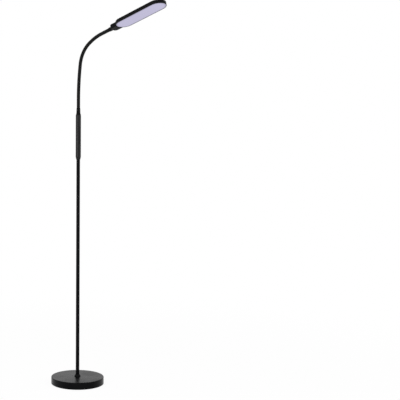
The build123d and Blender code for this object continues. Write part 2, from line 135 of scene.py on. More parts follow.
def seenDirectly(tree):
    # 1 where the camera, a mirror or a glass shows it, 0 where it only lights the object
    path = addNode(tree, "ShaderNodeLightPath")
    mirrored = addNode(tree, "ShaderNodeMath", operation="MAXIMUM", inputs={
        0: path.outputs["Is Camera Ray"], 1: path.outputs["Is Glossy Ray"]})
    both = addNode(tree, "ShaderNodeMath", operation="MAXIMUM", inputs={
        0: mirrored.outputs[0], 1: path.outputs["Is Transmission Ray"]})
    return both.outputs[0]


def buildSky(spec):
    world = bpy.data.worlds.new("whiteStudio")
    world.use_nodes = True
    scene.world = world
    tree = world.node_tree
    tree.nodes.clear()
    white = srgb(spec["skyColour"])
    lit = addNode(tree, "ShaderNodeBackground", {"Color": white, "Strength": spec["skyForDiffuse"]})
    seen = addNode(tree, "ShaderNodeBackground", {"Color": white, "Strength": 1.0})
    mix = addNode(tree, "ShaderNodeMixShader", {
        0: seenDirectly(tree), 1: lit.outputs[0], 2: seen.outputs[0]})
    addNode(tree, "ShaderNodeOutputWorld", {"Surface": mix.outputs[0]})


def layFloor(spec):
    bm = bmesh.new()
    bmesh.ops.create_grid(bm, x_segments=2, y_segments=2, size=spec["floorSize"] / 2)
    mesh = bpy.data.meshes.new("floor")
    bm.to_mesh(mesh)
    bm.free()
    floor = bpy.data.objects.new("floor", mesh)
    scene.collection.objects.link(floor)
    made, tree = newMaterial("paleStudioFloor")
    paint = addNode(tree, "ShaderNodeBsdfDiffuse", {"Color": srgb(spec["floorColour"])}).outputs[0]
    white = addNode(tree, "ShaderNodeEmission", {
        "Color": srgb(spec["skyColour"]), "Strength": 1.0}).outputs[0]
    # the shadow lies near the lamp, and further out the floor turns plain white
    place = addNode(tree, "ShaderNodeTexCoord").outputs["Object"]
    away = addNode(tree, "ShaderNodeVectorMath", {0: place}, operation="LENGTH").outputs["Value"]
    share = addNode(tree, "ShaderNodeMapRange", {
        "Value": away, "From Min": spec["shadowReach"], "From Max": spec["whiteFrom"],
        "To Min": spec["floorGlow"], "To Max": 1.0}, interpolation_type="SMOOTHSTEP").outputs["Result"]
    shown = addNode(tree, "ShaderNodeMixShader", {0: share, 1: paint, 2: white}).outputs[0]
    mix = addNode(tree, "ShaderNodeMixShader", {0: seenDirectly(tree), 1: paint, 2: shown})
    addNode(tree, "ShaderNodeOutputMaterial", {"Surface": mix.outputs[0]})
    mesh.materials.append(made)


def hangLamps(specs):
    for name, spec in specs.items():
        data = bpy.data.lights.new(name, "AREA")
        data.shape = "RECTANGLE"
        data.size = spec["wide"]
        data.size_y = spec["tall"]
        data.energy = spec["watts"]
        lamp = bpy.data.objects.new(name, data)
        lamp.location = spec["place"]
        aim = Vector(spec["aim"]) - Vector(spec["place"])
        lamp.rotation_euler = aim.to_track_quat("-Z", "Y").to_euler()
        scene.collection.objects.link(lamp)


buildSky(studio)
layFloor(studio)
hangLamps(lamps)
print("studio built")


# Finishes: broad mottling runs between the two colours and the two roughnesses. In millimetres, cloud is
# its size, grain is the size of the fine bumps and depth is their height. A real grain that is finer, as on
# foam, iron, plating and resist, is drawn this coarse to show. facing is the share of the shine that is
# left where a face is seen straight on.

finishes = {
    # powder-coated steel, baked: deep black with a soft shine and a faint orange peel
    # (real peel is about 0.6 mm wide, drawn at 1.6 to show)
    "powderCoatedSteel": {
        "slot": "satin_black_steel", "colours": ("#08080a", "#0e0e0f"), "rough": (0.24, 0.34),
        "specular": 0.1, "facing": 0.35, "grain": 1.6, "depth": 0.02, "cloud": 60},
    # ABS moulded in a spark-eroded tool: matte black with a fine even texture (0.2 mm, drawn at 0.7)
    "mouldedAbs": {
        "slot": "matte_black_abs", "colours": ("#0b0b0c", "#121213"), "rough": (0.4, 0.52),
        "specular": 0.04, "grain": 0.7, "depth": 0.03, "cloud": 35},
    # the same black ABS as the head, its colours lifted a little to paint the grip lighter (painted light),
    # with a smoother, stronger shine that draws a soft streak from the key lamp along the grip
    "satinAbsPaintedLight": {
        "slot": "matte_black_abs", "colours": ("#0f0f10", "#161617"), "rough": (0.26, 0.34),
        "specular": 0.2, "grain": 0.9, "depth": 0.015, "cloud": 30},
    # cast acrylic with black print behind it: mirror-smooth, with faint finger smudges
    "glossAcrylic": {
        "slot": "gloss_black_acrylic", "colours": ("#040405", "#070708"), "rough": (0.05, 0.16),
        "specular": 0.2, "grain": 9, "depth": 0.004, "cloud": 14},
    # extruded silicone: soft black, dull, with faint mottling and a trace of lint
    "extrudedSilicone": {
        "slot": "black_silicone", "colours": ("#0b0b0b", "#141414"), "rough": (0.45, 0.6),
        "specular": 0.08, "grain": 1.2, "depth": 0.02, "cloud": 25, "sheen": 0.02},
    # EVA foam, cut from sheet: dark grey with open cells
    "cutFoam": {
        "slot": "black_foam", "colours": ("#161616", "#262626"), "rough": (0.85, 0.95),
        "specular": 0.1, "grain": 1.5, "depth": 0.3, "cloud": 6},
    # PVC cable jacket, extruded: black, slightly waxy
    "extrudedPvc": {
        "slot": "cable_jacket", "colours": ("#101010", "#191919"), "rough": (0.4, 0.55),
        "specular": 0.25, "grain": 2, "depth": 0.02, "cloud": 20},
    # zinc-plated steel, turned: pale grey metal with dull clouds
    "zincPlatedSteel": {
        "slot": "zinc_steel", "colours": ("#a9abac", "#c4c4bf"), "rough": (0.3, 0.5),
        "metallic": 1.0, "grain": 0.8, "depth": 0.02, "cloud": 8},
    # cast iron, sand-cast and left rough: dark grey, granular
    "castIron": {
        "slot": "cast_iron", "colours": ("#3b3a39", "#565450"), "rough": (0.6, 0.8),
        "metallic": 0.7, "grain": 1.2, "depth": 0.25, "cloud": 12},
    # brass, turned: bright yellow metal
    "turnedBrass": {
        "slot": "contact_brass", "colours": ("#c79f4f", "#dcb766"), "rough": (0.18, 0.3),
        "metallic": 1.0, "grain": 0.5, "depth": 0.01, "cloud": 4},
    # glass-fibre board under green solder resist, printed: even green with faint mottling
    "solderResist": {
        "slot": "circuit_board", "colours": ("#0e4a26", "#16602f"), "rough": (0.3, 0.42),
        "specular": 0.4, "grain": 0.6, "depth": 0.01, "cloud": 5},
    # epoxy, transfer-moulded: matte charcoal
    "chipEpoxy": {
        "slot": "chip_epoxy", "colours": ("#191919", "#242424"), "rough": (0.55, 0.7),
        "specular": 0.3, "grain": 0.3, "depth": 0.01, "cloud": 4},
    # aluminium board under white solder resist, printed: even white with a soft shine
    "whiteResist": {
        "slot": "white_board", "colours": ("#dcdcda", "#ececea"), "rough": (0.3, 0.4),
        "specular": 0.4, "grain": 0.8, "depth": 0.01, "cloud": 10},
    # silicone with yellow phosphor, dispensed over the chips: smooth warm yellow
    "phosphorGel": {
        "slot": "led_phosphor", "colours": ("#e0bf52", "#edd06c"), "rough": (0.2, 0.3),
        "specular": 0.4, "grain": 0.5, "depth": 0.02, "cloud": 2},
}
mottle = {
    "low": 0.3,  # the noise between low and high is spread over the whole range
    "high": 0.7,
    "octaves": 3.0,
    "bump": 0.5,
}


def makeFinish(name, spec):
    made, tree = newMaterial(name)
    place = addNode(tree, "ShaderNodeTexCoord").outputs["Object"]
    noise = {}
    for size in ("grain", "cloud"):
        noise[size] = addNode(tree, "ShaderNodeTexNoise", {
            "Vector": place, "Scale": 1 / (spec[size] * mm), "Detail": mottle["octaves"]}).outputs["Fac"]
    spread = addNode(tree, "ShaderNodeMapRange", {
        "Value": noise["cloud"], "From Min": mottle["low"], "From Max": mottle["high"]})
    colour = addNode(tree, "ShaderNodeMixRGB", {
        "Fac": spread.outputs["Result"], "Color1": srgb(spec["colours"][0]),
        "Color2": srgb(spec["colours"][1])})
    rough = addNode(tree, "ShaderNodeMapRange", {
        "Value": noise["cloud"], "From Min": mottle["low"], "From Max": mottle["high"],
        "To Min": spec["rough"][0], "To Max": spec["rough"][1]})
    bump = addNode(tree, "ShaderNodeBump", {
        "Height": noise["grain"], "Distance": spec["depth"] * mm, "Strength": mottle["bump"]})
    shader = addNode(tree, "ShaderNodeBsdfPrincipled", {
        "Base Color": colour.outputs["Color"], "Roughness": rough.outputs["Result"],
        "Normal": bump.outputs["Normal"], "Metallic": spec.get("metallic", 0.0),
        "Specular IOR Level": spec.get("specular", 0.5),
        "Specular Tint": (spec.get("facing", 1.0),) * 3 + (1.0,),
        "Sheen Weight": spec.get("sheen", 0.0)})
    addNode(tree, "ShaderNodeOutputMaterial", {"Surface": shader.outputs["BSDF"]})
    return made


material = {name: makeFinish(name, spec) for name, spec in finishes.items()}
slotOf = {name: spec["slot"] for name, spec in finishes.items()}
print("finishes made:", len(material))


# Mesh helpers, sizes in millimetres

detail = {
    "merge": 0.001,  # points closer than this become one
    "cornerSteps": 5,  # faces along a rounded corner
    "sharp": 32,  # an edge that turns by more degrees stays sharp
}


def tidyMesh(bm):
    bmesh.ops.remove_doubles(bm, verts=bm.verts, dist=detail["merge"] * mm)
    bmesh.ops.recalc_face_normals(bm, faces=bm.faces)
    return bm


def everything(bm):
    return bm.verts[:] + bm.edges[:] + bm.faces[:]


def only(kind, parts):
    return [part for part in parts if isinstance(part, kind)]


def pushed(bm, geom, way):
    # extrudes faces, moves the new ones along and hands them back
    fresh = bmesh.ops.extrude_face_region(bm, geom=geom)["geom"]
    bmesh.ops.translate(bm, vec=way, verts=only(bmesh.types.BMVert, fresh))
    return fresh


def roundEdges(bm, edges, size, steps):
    bmesh.ops.bevel(bm, geom=edges, offset=size * mm, offset_type="OFFSET", segments=steps, profile=0.5,
                    affect="EDGES", material=-1)


def drawOutline(bm, corners, closed):
    # each corner is (across, along), with the length of its rounding where it has one
    verts = [bm.verts.new((corner[0] * mm, 0, corner[1] * mm)) for corner in corners]
    for first, second in zip(verts, verts[1:] + verts[:1] if closed else verts[1:]):
        bm.edges.new((first, second))
    for vert, corner in zip(verts, corners):
        if len(corner) > 2:
            bmesh.ops.bevel(bm, geom=[vert], offset=corner[2] * mm, offset_type="OFFSET",
                            segments=detail["cornerSteps"], profile=0.5, affect="VERTICES", material=-1)


def turned(corners, sides, closed=True, straight=0.0):
    # spins an outline about Z, with two straight sides along X between the half turns if asked
    bm = bmesh.new()
    drawOutline(bm, corners, closed)
    if not straight:
        bmesh.ops.spin(bm, geom=everything(bm), axis=(0, 0, 1), angle=math.tau, steps=sides, use_merge=True)
        return tidyMesh(bm)
    reach = straight / 2 * mm
    bmesh.ops.rotate(bm, matrix=Matrix.Rotation(-math.pi / 2, 3, "Z"), verts=bm.verts)
    bmesh.ops.translate(bm, vec=(reach, 0, 0), verts=bm.verts)
    live = everything(bm)
    for end in (reach, -reach):
        live = bmesh.ops.spin(bm, geom=live, cent=(end, 0, 0), axis=(0, 0, 1), angle=math.pi,
                              steps=sides // 2)["geom_last"]
        live = bmesh.ops.extrude_edge_only(bm, edges=only(bmesh.types.BMEdge, live))["geom"]
        bmesh.ops.translate(bm, vec=(-2 * end, 0, 0), verts=only(bmesh.types.BMVert, live))
        live = only((bmesh.types.BMVert, bmesh.types.BMEdge), live)
    return tidyMesh(bm)


def halfTurned(corners, sides):
    # a solid half ring, from the -Y side over +X to the +Y side
    bm = bmesh.new()
    drawOutline(bm, corners, True)
    bmesh.ops.contextual_create(bm, geom=bm.edges[:])
    bmesh.ops.rotate(bm, matrix=Matrix.Rotation(-math.pi / 2, 3, "Z"), verts=bm.verts)
    bmesh.ops.spin(bm, geom=everything(bm), axis=(0, 0, 1), angle=math.pi, steps=sides // 2)
    return tidyMesh(bm)


def rod(radius, start, end, matrix, sides=32):
    bm = bmesh.new()
    bmesh.ops.create_cone(bm, cap_ends=True, segments=sides, radius1=radius * mm, radius2=radius * mm,
                          depth=(end - start) * mm)
    bmesh.ops.translate(bm, vec=(0, 0, (start + end) / 2 * mm), verts=bm.verts)
    bmesh.ops.transform(bm, matrix=matrix, verts=bm.verts)
    return bm


def slab(low, high):
    bm = bmesh.new()
    bmesh.ops.create_cube(bm, size=1.0)
    low, high = Vector(low) * mm, Vector(high) * mm
    bmesh.ops.scale(bm, vec=high - low, verts=bm.verts)
    bmesh.ops.translate(bm, vec=(low + high) / 2, verts=bm.verts)
    return bm


def joined(parts):
    bm = bmesh.new()
    for part in parts:
        mesh = bpy.data.meshes.new("joining")
        part.to_mesh(mesh)
        part.free()
        bm.from_mesh(mesh)
        bpy.data.meshes.remove(mesh)
    return bm


def carved(bm, tool, how="DIFFERENCE"):
    holders = []
    for name, part in (("blank", bm), ("tool", tool)):
        mesh = bpy.data.meshes.new(name)
        part.to_mesh(mesh)
        part.free()
        holders.append(bpy.data.objects.new(name, mesh))
        scene.collection.objects.link(holders[-1])
    cut = holders[0].modifiers.new("cut", "BOOLEAN")
    cut.operation = how
    cut.solver = "EXACT"
    cut.object = holders[1]
    result = bmesh.new()
    result.from_object(holders[0], bpy.context.evaluated_depsgraph_get())
    for holder in holders:
        mesh = holder.data
        bpy.data.objects.remove(holder)
        bpy.data.meshes.remove(mesh)
    return result


def alongX(start=0.0, y=0.0, z=0.0, facing=1):
    # stands the Z axis along +X, or along -X
    return Matrix.Translation(Vector((start, y, z)) * mm) @ Matrix.Rotation(facing * math.pi / 2, 4, "Y")


def addPiece(name, bm, finish, nodes, body=None, place=None):
    if place:
        bmesh.ops.transform(bm, matrix=place, verts=bm.verts)
    mesh = bpy.data.meshes.new(name)
    bm.to_mesh(mesh)
    bm.free()
    mesh.materials.append(material[finish])
    mesh.shade_smooth()
    mesh.set_sharp_from_angle(angle=math.radians(detail["sharp"]))
    piece = bpy.data.objects.new(name, mesh)
    scene.collection.objects.link(piece)
    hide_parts(*nodes)
    if body:
        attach(piece, body)
        # wide faces stay flat up to their rounded edges
        piece.modifiers.new("flatFaces", "WEIGHTED_NORMAL").keep_sharp = True
    return piece


def levels(node):
    low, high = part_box(node)
    return low.z / mm, high.z / mm


# Base: spun cover, foam pad, collar and power socket

base = {
    "radius": 115.0,
    "height": 30.0,
    "edge": 2.5,
    "wall": 1.2,
    "lift": 1.0,  # of the wall's foot over the floor
    "footEdge": 0.4,
    "nippleHole": 5.3,
    "sides": 160,
}
pad = {"radius": 113.5, "height": 2.0, "lowEdge": 0.6, "highEdge": 0.4}
collar = {
    "foot": 13.75,
    "top": 8.8,
    "bore": 8.15,
    "rim": 1.5,  # height of its upright foot
    "height": 9.0,
    "rimEdge": 0.7,
    "topEdge": 0.6,
    "sides": 64,
}
jack = {
    "level": 21.9,
    "barrel": 5.5,
    "barrelEdge": 0.4,
    "bezel": 6.6,
    "bezelThickness": 1.2,
    "bezelEdge": 0.5,
    "length": 14.0,
    "bore": 3.0,
    "boreDepth": 10.5,
    "boreEdge": 0.3,
    "pin": 1.05,
    "pinLength": 9.0,
    "pinEdge": 0.6,
    "hole": 5.65,
    "holeReach": (-5.0, 15.0),  # of the drill, through the cover's wall
    "sides": 64,
    "pinSides": 32,
}


def buildCover():
    inside = base["radius"] - base["wall"]
    under = base["height"] - base["wall"]
    shell = turned([
        (inside, base["lift"]),
        (inside, under, base["edge"] - base["wall"]),
        (base["nippleHole"], under),
        (base["nippleHole"], base["height"]),
        (base["radius"], base["height"], base["edge"]),
        (base["radius"], base["lift"], base["footEdge"]),
    ], base["sides"])
    start, end = (reach - base["radius"] for reach in jack["holeReach"])
    hole = rod(jack["hole"], start, end, alongX(z=jack["level"]))
    addPiece("base_cover_spun", carved(shell, hole), "powderCoatedSteel", ["base_cover"], "stand")


def buildPad():
    sheet = turned([
        (0, 0),
        (pad["radius"], 0, pad["lowEdge"]),
        (pad["radius"], pad["height"], pad["highEdge"]),
        (0, pad["height"]),
    ], base["sides"], closed=False)
    addPiece("floor_pad_cut", sheet, "cutFoam", ["floor_pad"], "stand")


def buildCollar():
    ring = turned([
        (collar["bore"], 0),
        (collar["foot"], 0),
        (collar["foot"], collar["rim"], collar["rimEdge"]),
        (collar["top"], collar["height"], collar["topEdge"]),
        (collar["bore"], collar["height"]),
    ], collar["sides"])
    lift = Matrix.Translation((0, 0, base["height"] * mm))
    addPiece("pole_collar_moulded", ring, "mouldedAbs", ["pole_collar"], "stand", lift)


def buildSocket():
    back = alongX(-base["radius"], z=jack["level"])
    mouth = -jack["bezelThickness"]
    bottom = mouth + jack["boreDepth"]
    socket = turned([
        (0, jack["length"]),
        (0, bottom),
        (jack["bore"], bottom),
        (jack["bore"], mouth, jack["boreEdge"]),
        (jack["bezel"], mouth, jack["bezelEdge"]),
        (jack["bezel"], 0),
        (jack["barrel"], 0),
        (jack["barrel"], jack["length"], jack["barrelEdge"]),
        (0, jack["length"]),
    ], jack["sides"], closed=False)
    addPiece("power_jack_moulded", socket, "mouldedAbs", ["power_jack"], "stand", back)

    tip = bottom - jack["pinLength"]
    pin = turned([
        (0, bottom),
        (jack["pin"], bottom),
        (jack["pin"], tip, jack["pinEdge"]),
        (0, tip),
    ], jack["pinSides"], closed=False)
    addPiece("jack_pin_turned", pin, "turnedBrass", ["jack_pin"], "stand", back)


buildCover()
buildPad()
buildCollar()
buildSocket()
print("base built")


# Pole: three equal tubes

pole = {"radius": 8.0, "bore": 7.0, "count": 3, "lip": 0.2, "sides": 48}


def buildPole():
    for number in range(1, pole["count"] + 1):
        low, high = levels(f"pole_tube_{number}")
        tube = turned([
            (pole["bore"], low),
            (pole["radius"], low, pole["lip"]),
            (pole["radius"], high, pole["lip"]),
            (pole["bore"], high),
        ], pole["sides"])
        addPiece(f"pole_tube_{number}_rolled", tube, "powderCoatedSteel", [f"pole_tube_{number}"], "stand")


buildPole()
print("pole built")


# Grip: two ferrules, two half shells with their screws, and the touch panel

grip = {
    "radius": 11.65,
    "wall": 1.8,
    "edge": 0.3,
    "footTaper": 8.7,
    "footEdge": 0.4,
    "topTaper": 8.9,
    "topTaperLength": 10.0,
    "topBend": 1.5,  # rounding where the taper meets the neck's collar
    "neckCollar": 8.3,
    "spigot": 12.0,
    "fit": 0.15,
    "studHole": 5.1,
    "neckHole": 7.65,
    "fittingHole": 6.1,
    "sides": 64,
    "shellSides": 96,
}
seam = {
    "edge": 0.25,
    "steps": 2,
    "band": 0.5,  # from the outside, in which an edge belongs to the seam
    "flat": 0.01,  # from the split, within which a point lies on it
}
panel = {
    "width": 14.0,
    "edge": 0.35,
    "edgeSteps": 3,
    "sharp": 40,  # an edge that turns by more degrees is rounded
    "sides": 160,
    "windowReach": 20.0,  # from the pole's middle line out past the shell
}
screw = {
    "radius": 1.25,
    "edge": 0.5,
    "slot": 0.6,
    "slotLength": 2.6,
    "slotDepth": 0.9,
    "slotReach": 1.0,  # of the cutter above the head
    "sides": 32,
}
gripScrews = {
    "head": 2.1,
    "headHeight": 1.6,
    "length": 12.0,
    "seat": 6.0,
    "aside": 5.5,
    "inset": 18.0,
    "hole": 2.25,
    "boss": 3.1,
    "bossGap": 0.05,  # to the split
    "bossTrim": 1.0,  # at the ends of the shell
    "shankHole": 1.5,
    "shankReach": 1.0,  # of the drill past the split
    "drill": 15.0,  # from the pole's middle line out past the shell
}
shellLow, shellHigh = levels("front_shell")
panelLow, panelHigh = levels("touch_panel")
panelHalf = panel["width"] / 2
panelBack = math.sqrt(grip["radius"] ** 2 - panelHalf**2)
screwSpots = [(side, level) for level in (shellLow + gripScrews["inset"], shellHigh - gripScrews["inset"])
              for side in (-gripScrews["aside"], gripScrews["aside"])]


def crossHeadScrew(spec):
    # the head's top is at zero and the shank points down
    under = -spec["headHeight"]
    body = turned([
        (0, 0),
        (spec["head"], 0, screw["edge"]),
        (spec["head"], under),
        (screw["radius"], under),
        (screw["radius"], under - spec["length"], screw["edge"]),
        (0, under - spec["length"]),
    ], screw["sides"], closed=False)
    half, deep, reach = screw["slot"] / 2, screw["slotDepth"], screw["slotLength"] / 2
    bars = [slab((-along, -across, -deep), (along, across, screw["slotReach"]))
            for along, across in ((reach, half), (half, reach))]
    return carved(body, carved(*bars, "UNION"))


def screwSet(spec, places):
    screws = []
    for place in places:
        one = crossHeadScrew(spec)
        bmesh.ops.transform(one, matrix=place, verts=one.verts)
        screws.append(one)
    return joined(screws)


def buildFerrules():
    spigot = grip["radius"] - grip["wall"] - grip["fit"]
    foot = levels("lower_ferrule")[0]
    top = levels("upper_ferrule")[1]
    poleTop = levels(f"pole_tube_{pole['count']}")[1]
    neckSeat = levels("neck_sleeve")[0]
    lower = turned([
        (pole["radius"] + grip["fit"], foot),
        (grip["footTaper"], foot, grip["footEdge"]),
        (grip["radius"], shellLow, grip["edge"]),
        (spigot, shellLow),
        (spigot, shellLow + grip["spigot"]),
        (grip["studHole"], shellLow + grip["spigot"]),
        (grip["studHole"], poleTop),
        (pole["radius"] + grip["fit"], poleTop),
    ], grip["sides"])
    # painted light: the lower ferrule takes the grip's lighter copy of the black ABS
    addPiece("lower_ferrule_moulded", lower, "satinAbsPaintedLight", ["lower_ferrule"], "stand")
    upper = turned([
        (grip["fittingHole"], shellHigh - grip["spigot"]),
        (spigot, shellHigh - grip["spigot"]),
        (spigot, shellHigh),
        (grip["radius"], shellHigh, grip["edge"]),
        (grip["topTaper"], shellHigh + grip["topTaperLength"], grip["topBend"]),
        (grip["neckCollar"], top, grip["edge"]),
        (grip["neckHole"], top),
        (grip["neckHole"], neckSeat),
        (grip["fittingHole"], neckSeat),
    ], grip["sides"])
    addPiece("upper_ferrule_moulded", upper, "mouldedAbs", ["upper_ferrule"], "stand")


def halfShell():
    inside = grip["radius"] - grip["wall"]
    half = halfTurned([
        (inside, shellLow),
        (grip["radius"], shellLow, grip["edge"]),
        (grip["radius"], shellHigh, grip["edge"]),
        (inside, shellHigh),
    ], grip["shellSides"])
    # the edges along the split are eased, so that the seam shows as a fine line
    rims = [edge for edge in half.edges if all(
        abs(vert.co.x) < seam["flat"] * mm and vert.co.xy.length > (grip["radius"] - seam["band"]) * mm
        for vert in edge.verts)]
    roundEdges(half, rims, seam["edge"], seam["steps"])
    return half


def buildFrontShell():
    gap = grip["fit"]
    window = slab((panelBack, -panelHalf - gap, panelLow - gap),
                  (panel["windowReach"], panelHalf + gap, panelHigh + gap))
    # painted light: the front shell takes the grip's lighter copy of the black ABS
    addPiece("front_shell_moulded", carved(halfShell(), window), "satinAbsPaintedLight", ["front_shell"], "stand")


def screwRods(radius, end):
    return joined([rod(radius, -gripScrews["drill"], end, alongX(0, y, z)) for y, z in screwSpots])


def buildRearShell():
    rear = halfShell()
    bmesh.ops.rotate(rear, matrix=Matrix.Rotation(math.pi, 3, "Z"), verts=rear.verts)
    bosses = screwRods(gripScrews["boss"], -gripScrews["bossGap"])
    inside = grip["radius"] - grip["wall"]
    trim = gripScrews["bossTrim"]
    core = rod(inside + grip["wall"] / 2, shellLow + trim, shellHigh - trim, Matrix(), grip["shellSides"])
    rear = carved(rear, carved(bosses, core, "INTERSECT"), "UNION")
    rear = carved(rear, screwRods(gripScrews["hole"], -gripScrews["seat"]))
    rear = carved(rear, screwRods(gripScrews["shankHole"], gripScrews["shankReach"]))
    # painted light: the rear shell takes the grip's lighter copy of the black ABS
    addPiece("rear_shell_moulded", rear, "satinAbsPaintedLight", ["rear_shell"], "stand")


def buildGripScrews():
    top = -gripScrews["seat"] - gripScrews["headHeight"]
    screws = screwSet(gripScrews, [alongX(top, y, z, -1) for y, z in screwSpots])
    addPiece("grip_screws_turned", screws, "zincPlatedSteel", ["grip_screws"], "stand")


def buildPanel():
    # a slice of the grip's circle, made as long as the panel
    strip = bmesh.new()
    bmesh.ops.create_circle(strip, cap_ends=True, segments=panel["sides"], radius=grip["radius"] * mm)
    for spot, normal in (
        ((panelBack * mm, 0, 0), (-1, 0, 0)),
        ((0, panelHalf * mm, 0), (0, 1, 0)),
        ((0, -panelHalf * mm, 0), (0, -1, 0)),
    ):
        bmesh.ops.bisect_plane(strip, geom=everything(strip), plane_co=spot, plane_no=normal,
                               clear_outer=True)
    pushed(strip, strip.faces[:], (0, 0, (panelHigh - panelLow) * mm))
    bmesh.ops.translate(strip, vec=(0, 0, panelLow * mm), verts=strip.verts)
    tidyMesh(strip)
    rims = [edge for edge in strip.edges if edge.calc_face_angle(0) > math.radians(panel["sharp"])]
    roundEdges(strip, rims, panel["edge"], panel["edgeSteps"])
    addPiece("touch_panel_cast", strip, "glossAcrylic", ["touch_panel"], "stand")


buildFerrules()
buildFrontShell()
buildRearShell()
buildGripScrews()
buildPanel()
print("grip built")


# Gooseneck: the sleeve and the cable are cut at the middle of each core segment, so that each length holds
# one joint

neck = {
    "seat": levels("neck_sleeve")[0],
    # runs of the middle line: a length with no turn, or a radius with its turn in degrees
    "runs": [(43.0, 0.0), (1100.0, 8.0), (115.0, 50.0), (230.0, 19.9), (64.2, 0.0)],
    "shortestRun": 0.01,  # what a length takes of a run is left out where it is shorter
    "segments": 11,
    "firstJoint": 19.0,
    "lastJoint": 31.0,  # behind the end of the neck
    "sleeveEnd": 15.0,  # behind the end of the neck
    "sleeve": 7.5,
    "sleeveBore": 6.3,
    "lastBlend": 11.0,  # past the last joint, at the mouth of the funnel
    "step": 1.6,
    "sides": 40,
}
wire = {
    "radius": 1.8,
    "start": (4.1007, 1125.2),
    "lead": [(12.619, 0.0), (-25.0, -6.324), (34.465, 0.0), (25.0, 6.324), (24.619, 0.0)],
    "tail": 60.0,  # past the end of the neck
    "sides": 16,
}


def runLength(run):
    return math.radians(run[1]) * run[0] if run[1] else run[0]


def pathState(runs, origin, distance):
    # place and lean from upright, at a distance along the runs
    x, z, lean = origin[0], origin[1], 0.0
    for size, turn in runs:
        part = max(0.0, min(distance, runLength((size, turn))))
        if turn:
            swing = part / size
            x += size * (math.cos(lean) - math.cos(lean + swing))
            z += size * (math.sin(lean + swing) - math.sin(lean))
            lean += swing
        else:
            x += part * math.sin(lean)
            z += part * math.cos(lean)
        distance -= part
    return x, z, lean


def pathPoint(runs, origin, distance):
    x, z, _ = pathState(runs, origin, distance)
    return Vector((x, 0, z)) * mm


def swept(outer, inner, sides, runs, origin, start, end):
    # a tube along the runs between two distances, or a solid one where it has no inner radius
    bm = bmesh.new()
    bmesh.ops.create_circle(bm, cap_ends=not inner, segments=sides, radius=outer * mm)
    if inner:
        bmesh.ops.create_circle(bm, segments=sides, radius=inner * mm)
        bmesh.ops.bridge_loops(bm, edges=bm.edges[:])
    lean = pathState(runs, origin, start)[2]
    place = Matrix.Translation(pathPoint(runs, origin, start)) @ Matrix.Rotation(lean, 4, "Y")
    bmesh.ops.transform(bm, matrix=place, verts=bm.verts)
    live = everything(bm)
    covered = 0.0
    for size, turn in runs:
        first = max(start, covered)
        last = min(end, covered + runLength((size, turn)))
        covered += runLength((size, turn))
        if last - first < neck["shortestRun"]:
            continue
        steps = math.ceil((last - first) / neck["step"])
        x, z, lean = pathState(runs, origin, first)
        if turn:
            middle = Vector((x + size * math.cos(lean), 0, z - size * math.sin(lean))) * mm
            live = bmesh.ops.spin(bm, geom=live, cent=middle, axis=(0, 1, 0), angle=(last - first) / size,
                                  steps=steps)["geom_last"]
            continue
        ahead = Vector((math.sin(lean), 0, math.cos(lean))) * (last - first) / steps * mm
        for _ in range(steps):
            live = pushed(bm, live, ahead)
    return tidyMesh(bm)


neckLength = sum(runLength(run) for run in neck["runs"])


def buildNeck():
    count = neck["segments"]
    pitch = (neckLength - neck["lastJoint"] - neck["firstJoint"]) / count
    joints = [neck["firstJoint"] + pitch * k for k in range(count + 1)]
    origin = (0.0, neck["seat"])
    lead = sum(runLength(run) for run in wire["lead"])
    wireRuns = wire["lead"] + neck["runs"] + [(wire["tail"], 0.0)]
    for k, joint in enumerate(joints):
        start = joint - pitch / 2
        end = joint + (pitch / 2 if k < count else neck["lastBlend"])
        span = {"start": pathPoint(neck["runs"], origin, start), "end": pathPoint(neck["runs"], origin, end)}
        sleeveStart = start if k else 0.0
        sleeveEnd = end if k < count else neckLength - neck["sleeveEnd"]
        tube = swept(neck["sleeve"], neck["sleeveBore"], neck["sides"], neck["runs"], origin, sleeveStart,
                     sleeveEnd)
        length = addPiece(f"neck_sleeve_{k + 1:02d}", tube, "extrudedSilicone", ["neck_sleeve"])
        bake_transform(length)
        wireStart = lead + start if k else 0.0
        wireEnd = lead + (end if k < count else neckLength + wire["tail"])
        tube = swept(wire["radius"], 0, wire["sides"], wireRuns, wire["start"], wireStart, wireEnd)
        length = addPiece(f"neck_cable_{k + 1:02d}", tube, "extrudedPvc", ["neck_cable"])
        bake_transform(length)


buildNeck()
print("neck built, length", round(neckLength, 2))


# Head, in its own axes: X along it from the end of the neck, Z out of its back

head = {
    "length": 247.0,
    "width": 78.0,
    "half": 8.0,  # half the thickness
    "wall": 1.9,
    "ledge": 3.2,
    "ledgeLevel": -5.6,
    "floor": 6.0,
    "backEdge": 3.0,
    "frontEdge": 0.5,
    "innerEdge": 0.3,
    "sides": 128,
}
tongue = {
    "length": 32.0,
    "half": 20.0,  # half the width
    "rear": 10.8,
    "shoulder": 13.0,
    "arcSteps": 10,
    "thickness": 9.25,  # of each half
    "edge": 1.6,
    "sunk": 0.3,  # depth to which its fixed half runs into the head's wall
    "trim": 1.0,  # how far the cutter for the head's outline stands out of it
}
coverScrews = {
    "head": 2.3,
    "headHeight": 1.6,
    "length": 10.0,
    "setback": 18.0,
    "aside": 12.0,
    "hole": 2.45,
    "drill": 12.0,  # from the middle of the tongue out past its back
}
diffuser = {"fit": 0.15, "recess": 0.4, "thickness": 2.0, "edge": 0.5}
funnel = {
    "length": 19.0,
    "mouth": 8.5,
    "lip": 0.6,
    "pocket": 7.8,
    "pocketDepth": 4.3,
    "bore": 6.1,
    "sides": 64,
}


def headMatrix():
    x, z, lean = pathState(neck["runs"], (0.0, neck["seat"]), neckLength)
    turn = Matrix(((math.sin(lean), 0, -math.cos(lean)), (0, 1, 0), (math.cos(lean), 0, math.sin(lean))))
    return Matrix.Translation(Vector((x, 0, z)) * mm) @ turn.to_4x4()


headPlace = headMatrix()
headMiddle = tongue["length"] + head["length"] / 2
rim = head["width"] / 2


# opal acrylic, cast, over the LEDs: an even cool glow, brighter to the tip, dimmer along the rim, and the
# rows of LEDs just showing through

